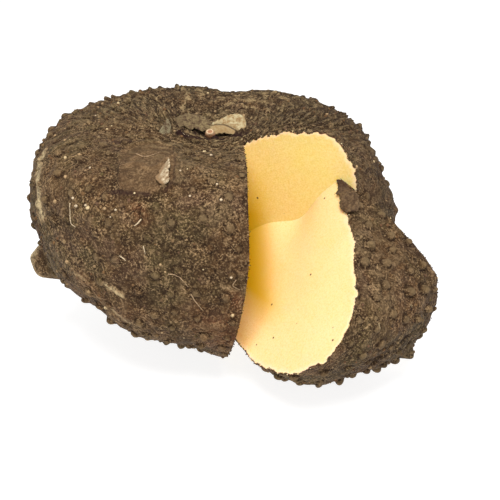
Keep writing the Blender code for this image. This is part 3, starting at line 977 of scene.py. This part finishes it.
def over_skin(tilt):
    """Points in clumps all over the skin, and a turn at each that leans by the tilt at most."""

    def placed_at(add, given):
        clumps = spots(add, add("GeometryNodeInputPosition"), CLUMP_SIZE, 2.0)
        allowed = product(
            add,
            named_values(add, "growing"),
            value_between(add, named_values(add, "scar"), 0.3, 0.5, 1.0, 0.0),
            value_between(add, clumps, 0.44, 0.6, 0.04, 1.0),
            maths(add, "LESS_THAN", add("GeometryNodeInputMaterialIndex"), 0.5),
            off_floor(add),
        )
        settings = {"Mesh": given["Skin"], "Distance Min": given["Spacing"], "Density Max": MOST_PER_AREA}
        settings |= {"Density Factor": allowed, "Seed": given["Seed"]}
        spread = "GeometryNodeDistributePointsOnFaces"
        points = add(spread, settings, None, distribute_method="POISSON").outputs
        leaning = random_vector(add, (-tilt, -tilt, 0.0), (tilt, tilt, FULL_TURN))
        settings = {0: points["Rotation"], "Rotate By": leaning}
        return points["Points"], add("FunctionNodeRotateRotation", settings, rotation_space="LOCAL")

    return placed_at


def dome_item(add):
    ball = add("GeometryNodeMeshUVSphere", {0: PIMPLE_SIDES, 1: PIMPLE_RINGS, 2: 1.0})
    return add("GeometryNodeTransform", {0: ball, "Scale": PIMPLE_SHAPE})


def cone_item(sides, tip, foot, length, scale=(1.0, 1.0, 1.0)):
    """A blunt cone with few sides, given its radii at the tip and foot."""

    def item(add):
        settings = {"Vertices": sides, "Radius Top": tip, "Radius Bottom": foot, "Depth": length}
        cone = add("GeometryNodeMeshCone", settings, fill_type="NGON")
        return add("GeometryNodeTransform", {0: cone, "Scale": scale})

    return item


def grown_over(skin_piece, name, tree, values):
    """The items that the tree sets on a piece's skin, as a plain mesh of their own."""
    piece = in_scene(name, skin_piece.data)
    modifier = piece.modifiers.new("grown", "NODES")
    modifier.node_group = tree
    for item in tree.interface.items_tree:
        if item.in_out == "INPUT" and item.name in values:
            modifier[item.identifier] = values[item.name]
    as_plain_mesh(piece)
    piece.data.materials.clear()
    piece.data.materials.append(values["Finish"])
    piece.data.polygons.foreach_set("material_index", [0] * len(piece.data.polygons))
    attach(piece, "root")


def toned_material(name, tones, roughness):
    """Cork or root whose colour runs, from item to item, through the given tones."""
    made, add, patterns = started_finish(name, {"mottle": (0.0012, 3.0, 0.7)})
    layers = [(tone, "tone", start, end, 0.0, 1.0) for (start, _), (end, tone) in zip(tones, tones[1:])]
    layers.append((SKIN_DARK, "mottle", 0.38, 0.52, 0.55, 0.0))
    colour = layered(add, patterns, tones[0][1], layers)
    surface = {"Roughness": roughness, "Specular IOR Level": 0.25}
    return closed_finish(made, add, colour, patterns["mottle"], 0.8, 0.0006, surface)


PIMPLE_TONES = (
    (0.0, SKIN_OLIVE), (0.35, SKIN_PURPLE), (0.6, SKIN_BROWN), (0.85, SKIN_GREY),
    (0.96, SKIN_TAN), (0.998, SKIN_CREAM),
)
CRUMB_TONES = ((0.35, SKIN_DARK), (0.6, SKIN_BROWN), (0.85, SKIN_GREY), (1.0, SKIN_TAN))
HAIR_TONES = ((0.0, SKIN_BROWN), (0.5, SKIN_GREY), (0.9, SKIN_TAN), (1.0, SKIN_CREAM))
crumb_item = cone_item(5, 0.45, 1.0, 0.8, (1.0, 0.62, 0.8))
hair_item = cone_item(3, 0.02, 0.05, 1.0)
grown_kinds = []
for kind, item, tilt, sunk, spacing, sizes, finish in (
    ("pimples", dome_item, 0.25, 0.3, PIMPLE_SPACING, PIMPLE_RADII, ("pimple_cork", PIMPLE_TONES, 0.85)),
    ("crumbs", crumb_item, 0.6, 0.05, CRUMB_SPACING, CRUMB_RADII, ("cork_crumbs", CRUMB_TONES, 0.95)),
    ("hairs", hair_item, 1.45, 0.0, HAIR_SPACING, HAIR_LENGTHS, ("root_hair", HAIR_TONES, 0.8)),
):
    tree = item_tree(kind, ITEM_MEASURES, over_skin(tilt), item, 1.7, 3, sunk, True)
    values = dict(zip(ITEM_MEASURES, (spacing, *sizes)))
    grown_kinds.append((kind, tree, values | {"Seed": GROWN_SEED, "Finish": toned_material(*finish)}))
for host, label in ((corm, "corm"), (wedge, "wedge")):
    for kind, tree, values in grown_kinds:
        grown_over(host, f"{label}_{kind}", tree, values)

# Dry scales stand in the sunken crown, left from the leaf stalk's sheath. A folded papery one and a
# brown one rise from the crevice, a short pointed one stands beside them, and a last chip of cork
# lifts off the scar on the front. Each is as thin as bark, curled, and still held along one edge.
PAPER_CREAM = (0.56, 0.48, 0.28)
PAPER_BROWN = (0.33, 0.205, 0.085)
CHIP_CREAM = (0.72, 0.6, 0.4)
CHIP_TAN = (0.27, 0.165, 0.08)
SCALE_BROWN = (0.265, 0.195, 0.09)
SCALE_DULL = (0.095, 0.056, 0.028)
SCALE_GREY_GREEN = (0.29, 0.245, 0.14)
SCALE_DARK = (0.04, 0.018, 0.01)
SCALE_RUNS = ("along", "across")
SCALE_GRID = (40, 14)
SCALE_RAGGED = 0.001
SCALE_WRINKLE = 0.0005
FOLD_DEPTH = 0.0012
FOLD_WIDTH = 0.07
FOLD_SOFT = 0.03
FIBRES = (2.5, 16.0)
SCALE_SURFACE = {"Roughness": 0.75, "Specular IOR Level": 0.25}


def scale_material(name, pale, dull, dark_share, far_share=0.0, root_share=0.0):
    """Thin dry bark with fibres along its length, duller below its fold or at its far rim."""
    made, add, patterns = started_finish(name, {"mottle": (0.0022, 4.0, 0.7)})
    drawn = [product(add, pattern(add, patterns, side), FIBRES[axis]) for axis, side in enumerate(SCALE_RUNS)]
    where = add("ShaderNodeCombineXYZ", enumerate(drawn))
    patterns["fibres"] = spots(add, where, 1.0, 4.0, 0.7, 0.3)
    layers = (
        (pale, "mottle", 0.4, 0.62, 0.0, 1.0),
        (dull, "fibres", 0.34, 0.5, 0.85, 0.0),
        (SCALE_DARK, "mottle", 0.3, 0.44, dark_share, 0.0),
        (dull, "under", 0.0, 1.0, 0.0, 0.7),
        (dull, "across", 0.5, 0.8, 0.0, far_share),
        (SCALE_DARK, "along", 0.12, 0.42, root_share, 0.0),
        # Painted shade along the crease of the fold.
        (SCALE_DARK, "fold", 0.3, 0.9, 0.0, 0.85),
    )
    colour = layered(add, patterns, dull, layers)
    heights = heights_of(add, patterns, ((1.0, "fibres"), (1.0, "mottle")))
    return closed_finish(made, add, colour, heights, 0.8, 0.001, SCALE_SURFACE)


def bent_scale(name, root, along, across, length, edges, curl, fold, thickness, finish):
    """A thin scale from its rooted end: edges gives, by share of the length, its two rims."""
    along = unit(along)
    across = unit(across - (np.asarray(across) @ along) * along)
    facing = np.cross(along, across)
    stops, lows, highs = np.array(edges).T
    bm = bmesh.new()
    rows = []
    values = []
    for share in np.linspace(0.0, 1.0, SCALE_GRID[0] + 1):
        low = np.interp(share, stops, lows)
        high = np.interp(share, stops, highs)
        crease = fold[0] + fold[1] * share
        rows.append([])
        for rise in np.linspace(0.0, 1.0, SCALE_GRID[1] + 1):
            place = np.asarray(root) + along * (share * length) + across * (low + rise * (high - low))
            creased = fold[2] * hump(rise, crease, FOLD_WIDTH)
            bent = curl[0] * (1.0 - rise) ** 2 + curl[1] * rise**2 + curl[2] * share**2
            place = place + facing * (bent - FOLD_DEPTH * creased)
            wrinkle = lumps((place, place * 2.5), 0.005, 31.0)
            place = place + facing * SCALE_WRINKLE * (wrinkle[0] + 0.5 * wrinkle[1])
            ragged = SCALE_RAGGED * abs(2.0 * rise - 1.0) ** 6 * lumps((place,), 0.0016, 33.0)[0]
            rows[-1].append(bm.verts.new(place + across * ragged))
            values.append((share, rise, creased, fold[2] * before(rise, crease, FOLD_SOFT)))
    join_rows(bm, rows[::-1])
    piece = finished_object(name, bm, (finish,))
    for label, column in zip((*SCALE_RUNS, "fold", "under"), np.array(values).T):
        save_values(piece.data, label, column)
    piece.data.shade_smooth()
    thick = piece.modifiers.new("thickness", "SOLIDIFY")
    thick.thickness = thickness
    thick.offset = 0.0
    as_plain_mesh(piece)
    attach(piece, "root")


NO_FOLD = (0.0, 0.0, 0.0)
PAPER_EDGES = (
    (0.0, -0.0008, 0.001), (0.2, -0.003, 0.0055), (0.45, -0.0022, 0.009),
    (0.7, -0.0032, 0.0112), (0.88, -0.0038, 0.0108), (0.96, -0.001, 0.0088), (1.0, 0.002, 0.006),
)
BROWN_EDGES = (
    (0.0, -0.001, 0.0025), (0.15, -0.003, 0.006), (0.3, -0.0015, 0.0082), (0.42, -0.0042, 0.009),
    (0.55, -0.002, 0.0092), (0.72, -0.0048, 0.0085), (0.85, -0.003, 0.0065), (1.0, -0.0045, 0.002),
)
POINTED_EDGES = (
    (0.0, -0.002, 0.001), (0.3, -0.0025, 0.0048), (0.55, -0.0025, 0.0072), (0.7, -0.0025, 0.0095),
    (0.85, -0.0025, 0.008), (1.0, -0.002, 0.004),
)
CHIP_EDGES = (
    (0.0, -0.0004, 0.003), (0.15, -0.0006, 0.0062), (0.32, 0.0, 0.008), (0.45, 0.0004, 0.0062),
    (0.7, 0.0, 0.005), (0.9, 0.0005, 0.003), (1.0, 0.001, 0.0016),
)
paper_finish = scale_material("papery_scale", PAPER_CREAM, PAPER_BROWN, 0.3)
chip_finish = scale_material("scar_chip", CHIP_CREAM, CHIP_TAN, 0.3, 1.0)
brown_finish = scale_material("brown_scale", SCALE_BROWN, SCALE_DULL, 0.8, root_share=0.3)
green_finish = scale_material("grey_green_scale", SCALE_GREY_GREEN, SCALE_DULL, 0.6)
bent_scale(
    "papery_scale", (-0.003, 0.0218, 0.136), (1.0, 0.04, 0.0), (0.0, 0.45, 0.893), 0.0265,
    PAPER_EDGES, (0.001, -0.002, -0.0015), (0.98, -1.05, 1.0), 0.0006, paper_finish,
)
bent_scale(
    "brown_scale", (-0.0245, 0.019, 0.1415), (1.0, 0.22, -0.12), (0.0, 0.78, 0.62), 0.027,
    BROWN_EDGES, (-0.001, -0.0015, 0.0), NO_FOLD, 0.001, brown_finish,
)
bent_scale(
    "pointed_scale", (-0.0295, -0.025, 0.1465), (1.0, 0.1, 0.0), (0.0, 0.3, 0.954), 0.0072,
    POINTED_EDGES, (0.0, -0.001, 0.0), NO_FOLD, 0.0009, green_finish,
)
bent_scale(
    "scar_chip", (-0.019, -0.0985, 0.1388), (0.0, 0.96, 0.28), (-0.95, 0.0, -0.05), 0.023,
    CHIP_EDGES, (0.0022, -0.0002, 0.0), NO_FOLD, 0.0007, chip_finish,
)

# The crown's bud is a small blunt nub of living tissue, pink and rimmed, at the foot of the papery
# scale. It grows from the bottom of the crevice, where next year's shoot would come.
NUB_PLACE = np.array([0.0004, 0.0036, 0.1383])
NUB_SIZE = (0.0031, 0.0025, 0.0033)
NUB_TOWARDS = (0.0, -0.62, 0.78)
NUB_RING = (0.66, 0.22)
NUB_RING_RISE = 0.25
NUB_DIMPLE = (0.0, 0.45)
NUB_DIMPLE_DEPTH = 0.55
NUB_LUMPS = 0.12
NUB_PINK = (0.46, 0.24, 0.13)
NUB_RIM = (0.68, 0.48, 0.29)


def nub_material():
    made, add, patterns = started_finish("crown_nub", {"mottle": (0.0012, 3.0, 0.6)})
    layers = ((NUB_RIM, "ring", 0.25, 0.85, 0.0, 1.0), (SKIN_BROWN, "mottle", 0.35, 0.48, 0.6, 0.0))
    colour = layered(add, patterns, NUB_PINK, layers)
    return closed_finish(made, add, colour, patterns["mottle"], 0.5, 0.0004, {"Roughness": 0.5})


nub_bm, nub_directions = ball_of_directions(14)
nub_out = np.hypot(nub_directions[:, 0], nub_directions[:, 1])
nub_up = nub_directions[:, 2] > 0.0
nub_ring = hump(nub_out, *NUB_RING) * nub_up
nub_dimple = NUB_DIMPLE_DEPTH * hump(nub_out, *NUB_DIMPLE) * nub_up
nub_shape = nub_directions * (1.0 + NUB_LUMPS * lumps(nub_directions, 0.7, 41.0))[:, None]
nub_shape[:, 2] += NUB_RING_RISE * nub_ring - nub_dimple
nub_turn = Vector(NUB_TOWARDS).to_track_quat("Z", "Y").to_matrix()
place_points(nub_bm, [Vector(NUB_PLACE) + nub_turn @ Vector(point * NUB_SIZE) for point in nub_shape])
nub = finished_object("crown_nub", nub_bm, (nub_material(),))
save_values(nub.data, "ring", nub_ring)
nub.data.shade_smooth()
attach(nub, "root")

# A torn tongue of skin lies over the tip of the wedge. The knife left it hanging there as it came
# out, so it is dark, ragged, and folded from the wedge's skin over the edge of the near face.
FLAP_EDGES = (
    (0.0, -0.0004, 0.0008), (0.06, -0.0011, 0.0022), (0.11, -0.0006, 0.003), (0.19, -0.0002, 0.0037),
    (0.28, -0.0001, 0.0046), (0.35, -0.0023, 0.006), (0.41, -0.001, 0.0076), (0.47, 0.0001, 0.0088),
    (0.57, -0.0002, 0.0104), (0.74, -0.0004, 0.0112), (0.83, 0.0004, 0.0112), (0.9, 0.0014, 0.011),
    (1.0, 0.004, 0.0095),
)
FLAP_BROWN = (0.165, 0.102, 0.05)
FLAP_DULL = (0.06, 0.032, 0.015)
flap_finish = scale_material("torn_skin", FLAP_BROWN, FLAP_DULL, 0.8, root_share=0.8)
flap_root = np.array([0.0796, -0.0402, 0.122])
flap_along = np.array([0.004, -0.888, -0.461])
flap_across = np.cross(NEAR_FACE_FACING, flap_along)
bent_scale(
    "torn_flap", flap_root, flap_along, flap_across, 0.03,
    FLAP_EDGES, (0.0006, -0.0032, 0.0), NO_FOLD, 0.0012, flap_finish,
)

# Where the knife went through, the rim of the skin is torn in small dark shreds that stand out over
# the flesh, with a few crumbs of flesh dragged over the skin.
SHRED_SPACING = 0.0011
SHRED_SIZES = (0.0002, 0.0006)
FLESH_CRUMB_SPACING = 0.009
SHRED_SCATTER = 0.0004


def along_rim(add, given):
    """Points on the edge between skin and flesh, thrown a little to either side, and any turn."""
    chosen = product(add, named_values(add, "rim", "BOOLEAN"), off_floor(add))
    settings = {"Mesh": given["Skin"], "Selection": chosen}
    settings = {"Curve": add("GeometryNodeMeshToCurve", settings), "Length": given["Spacing"]}
    points = add("GeometryNodeCurveToPoints", settings, mode="LENGTH")
    thrown = random_vector(add, (-1.0, -1.0, -1.0), (1.0, 1.0, 1.0), given["Seed"])
    settings = {0: thrown, "Scale": given["Scatter"]}
    thrown = add("ShaderNodeVectorMath", settings, operation="SCALE")
    points = add("GeometryNodeSetPosition", {"Geometry": points, "Offset": thrown})
    return points, random_vector(add, (0.0, 0.0, 0.0), (FULL_TURN, FULL_TURN, FULL_TURN))


SHRED_TONES = ((0.5, SKIN_DARK), (0.8, RIND_LINE), (1.0, SKIN_BROWN))
# The crumbs of flesh take the wedge's paler flesh, which is painted light.
FLESH_CRUMB_TONES = ((0.0, WEDGE_FLESH_PAINTED_PALER[1]), (1.0, FLESH_PALE))
shred_finish = toned_material("torn_rim", SHRED_TONES, 0.9)
flesh_crumb_finish = toned_material("flesh_crumbs", FLESH_CRUMB_TONES, 0.6)
shred_item = cone_item(4, 0.15, 0.75, 1.8)
rim_measures = (*ITEM_MEASURES, "Scatter")
shred_tree = item_tree("rim_shreds", rim_measures, along_rim, shred_item, 1.8, 5)
for host, label in ((corm, "corm"), (wedge, "wedge")):
    for kind, spacing, seed, finish in (
        ("rim_shreds", SHRED_SPACING, 17, shred_finish),
        ("flesh_crumbs", FLESH_CRUMB_SPACING, 23, flesh_crumb_finish),
    ):
        values = dict(zip(rim_measures, (spacing, *SHRED_SIZES, SHRED_SCATTER)))
        grown_over(host, f"{label}_{kind}", shred_tree, values | {"Seed": seed, "Finish": finish})

# Dead roots lie on the skin where the earth was brushed off: pale curled ends, and thin brown
# threads. The stumps of others show as cream beads, each the cut end of a root.
ROOT_STEPS = 10
ROOT_LIFT = 0.6
ROOT_THINNING = 0.6
STUMP_LIFT = 0.2
STUMP_SHAPE = (1.0, 0.85, 0.7, 1.0)
ROOT_CREAM = (0.56, 0.43, 0.27)
ROOT_TAN = (0.4, 0.27, 0.15)
STUMP_CREAM = (0.62, 0.48, 0.31)
PALE_ROOTS = (
    (
        ((-0.626, -0.689, 0.367), (-0.64, -0.702, 0.313), (-0.64, -0.717, 0.278), (-0.614, -0.743, 0.267)),
        0.00036,
    ),
    (((-0.288, -0.887, 0.361), (-0.303, -0.889, 0.343), (-0.32, -0.889, 0.328)), 0.00045),
    (((-0.289, -0.927, 0.239), (-0.286, -0.933, 0.22), (-0.283, -0.938, 0.201)), 0.00036),
    (((-0.412, -0.895, 0.174), (-0.395, -0.905, 0.165), (-0.384, -0.911, 0.153)), 0.00042),
    (((-0.262, -0.215, 0.93), (-0.225, -0.255, 0.932), (-0.165, -0.3, 0.935)), 0.00045),
)
TAN_ROOTS = (
    (((-0.065, -0.998, -0.006), (-0.045, -0.998, -0.05), (-0.007, -0.994, -0.113)), 0.00035),
    (((-0.178, -0.979, 0.104), (-0.128, -0.988, 0.09), (-0.08, -0.996, 0.036)), 0.00035),
    (((0.165, -0.986, 0.07), (0.15, -0.985, 0.035), (0.185, -0.982, 0.01)), 0.0003),
    (((-0.4, -0.62, 0.67), (-0.34, -0.66, 0.67), (-0.28, -0.63, 0.72)), 0.0003),
    (((0.62, 0.75, 0.2), (0.55, 0.8, 0.14), (0.56, 0.82, 0.05)), 0.0004),
    (((-0.6, 0.78, 0.1), (-0.65, 0.73, 0.18), (-0.6, 0.73, 0.28)), 0.0004),
)


def on_corm(directions, lift):
    directions = np.array([unit(direction) for direction in directions])
    reach = corm_skin(directions)
    relief, _ = corm_relief(directions, reach)
    return CORM_MIDDLE + directions * (reach + relief + lift)[:, None]


def smooth_run(stops):
    """Points on a smooth curve through the stops."""
    stops = np.array(stops)
    held = np.vstack((2.0 * stops[0] - stops[1], stops, 2.0 * stops[-1] - stops[-2]))
    run = []
    for prior, start, end, after in zip(held, held[1:], held[2:], held[3:]):
        for share in np.arange(ROOT_STEPS) / ROOT_STEPS:
            pull = 2.0 * prior - 5.0 * start + 4.0 * end - after
            swing = 3.0 * start - prior - 3.0 * end + after
            run.append(0.5 * (2.0 * start + (end - prior) * share + pull * share**2 + swing * share**3))
    return np.array([*run, stops[-1]])


def laid_roots(name, roots, tone):
    """Roots that lie on the corm's skin and thin out towards their far end."""
    curve = bpy.data.curves.new(name, "CURVE")
    curve.dimensions = "3D"
    curve.bevel_depth = 1.0
    curve.bevel_resolution = 2
    curve.use_fill_caps = True
    for stops, thickness in roots:
        places = on_corm(smooth_run(stops), ROOT_LIFT * thickness)
        spline = curve.splines.new("POLY")
        spline.points.add(len(places) - 1)
        for index, (point, place) in enumerate(zip(spline.points, places)):
            point.co = (*place, 1.0)
            point.radius = thickness * (1.0 - ROOT_THINNING * (index / len(places)) ** 2)
    laid = in_scene(name, curve)
    mesh = evaluated_mesh(laid)
    remove_pieces(laid)
    mesh.materials.clear()
    mesh.materials.append(toned_material(name, ((0.0, tone),), 0.7))
    mesh.shade_smooth()
    piece = in_scene(name, mesh)
    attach(piece, "root")


# Pale cut ends of roots: which way each lies from the corm's middle, and its radius.
ROOT_STUMPS = (
    ((-0.564, -0.629, 0.535), 0.0008), ((-0.611, -0.688, 0.391), 0.001), ((-0.592, -0.72, 0.363), 0.0011),
    ((-0.55, -0.745, 0.377), 0.0009), ((-0.658, -0.309, 0.687), 0.0007), ((-0.716, 0.112, 0.689), 0.0007),
    ((0.037, -0.692, 0.721), 0.0009), ((0.068, -0.846, 0.53), 0.0008), ((0.086, -0.886, 0.456), 0.0009),
    ((-0.059, -0.878, 0.474), 0.0007), ((-0.402, -0.831, 0.385), 0.0008), ((0.138, -0.986, 0.09), 0.0008),
    ((-0.43, -0.83, 0.35), 0.0006), ((-0.116, -0.799, 0.59), 0.0006), ((0.9, 0.3, 0.3), 0.0008),
    ((0.55, 0.8, 0.25), 0.0008), ((-0.6, 0.75, 0.25), 0.0009), ((-0.3, 0.95, 0.05), 0.0008),
)
stump_bm = bmesh.new()
for towards, radius in ROOT_STUMPS:
    place = on_corm((towards,), STUMP_LIFT * radius)[0]
    turned = Vector(unit(towards)).to_track_quat("Z", "Y").to_matrix().to_4x4()
    squat = Matrix.Translation(place) @ turned @ Matrix.Diagonal(STUMP_SHAPE)
    bmesh.ops.create_uvsphere(stump_bm, u_segments=10, v_segments=6, radius=radius, matrix=squat)
stump_finish = toned_material("cut_root", ((0.0, STUMP_CREAM),), 0.6)
stumps = finished_object("root_stumps", stump_bm, (stump_finish,))
stumps.data.shade_smooth()
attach(stumps, "root")

laid_roots("pale_roots", PALE_ROOTS, ROOT_CREAM)
laid_roots("brown_roots", TAN_ROOTS, ROOT_TAN)

# The yam stands on a plain pale floor in soft light, seen from a little above its notch.
PIXEL = 0.000663
CAMERA_FALL = math.radians(22.0)
LENS = 75.0
SENSOR = 36.0
CAMERA_TARGET = Vector((39.0 * PIXEL, 0.0, 90.6 * PIXEL))
CAMERA_DISTANCE = LENS / SENSOR * 500.0 * PIXEL
LAMP_PLACE = Vector((0.0, -0.88, 1.32))
LAMP_TARGET = Vector((0.03, 0.0, 0.06))
LAMP_SIZE = 0.7
LAMP_POWER = 28.5
ROOM_LIGHT = 0.46
WHITE = (1.0, 1.0, 1.0, 1.0)
FLOOR_SIZE = 6.0
FLOOR_SURFACE = {
    "Base Color": (0.36, 0.36, 0.36, 1.0), "Roughness": 0.9,
    "Emission Color": WHITE, "Emission Strength": 0.86,
}

camera_data = bpy.data.cameras.new("camera")
camera_data.lens = LENS
camera_data.sensor_width = SENSOR
camera_data.clip_start = 0.01
camera = in_scene("camera", camera_data)
looking = Vector((0.0, math.cos(CAMERA_FALL), -math.sin(CAMERA_FALL)))
camera.location = CAMERA_TARGET - looking * CAMERA_DISTANCE
camera.rotation_euler = looking.to_track_quat("-Z", "Y").to_euler()
bpy.context.scene.camera = camera

lamp = bpy.data.lights.new("key", "AREA")
lamp.shape = "DISK"
lamp.size = LAMP_SIZE
lamp.energy = LAMP_POWER
light = in_scene("key", lamp)
light.location = LAMP_PLACE
light.rotation_euler = (LAMP_TARGET - LAMP_PLACE).to_track_quat("-Z", "Y").to_euler()

world = bpy.data.worlds.new("pale_room")
world.use_nodes = True
set_inputs(world.node_tree.nodes["Background"], {"Color": WHITE, "Strength": ROOM_LIGHT})
bpy.context.scene.world = world
bpy.context.scene.view_settings.view_transform = "Standard"

floor_bm = bmesh.new()
bmesh.ops.create_grid(floor_bm, x_segments=1, y_segments=1, size=FLOOR_SIZE)
floor_finish = bpy.data.materials.new("pale_floor")
floor_finish.use_nodes = True
set_inputs(floor_finish.node_tree.nodes["Principled BSDF"], FLOOR_SURFACE)
floor = finished_object("floor", floor_bm, (floor_finish,))
floor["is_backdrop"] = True

plain = [[list(corner) for corner in box] for box in (cad_box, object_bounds())]
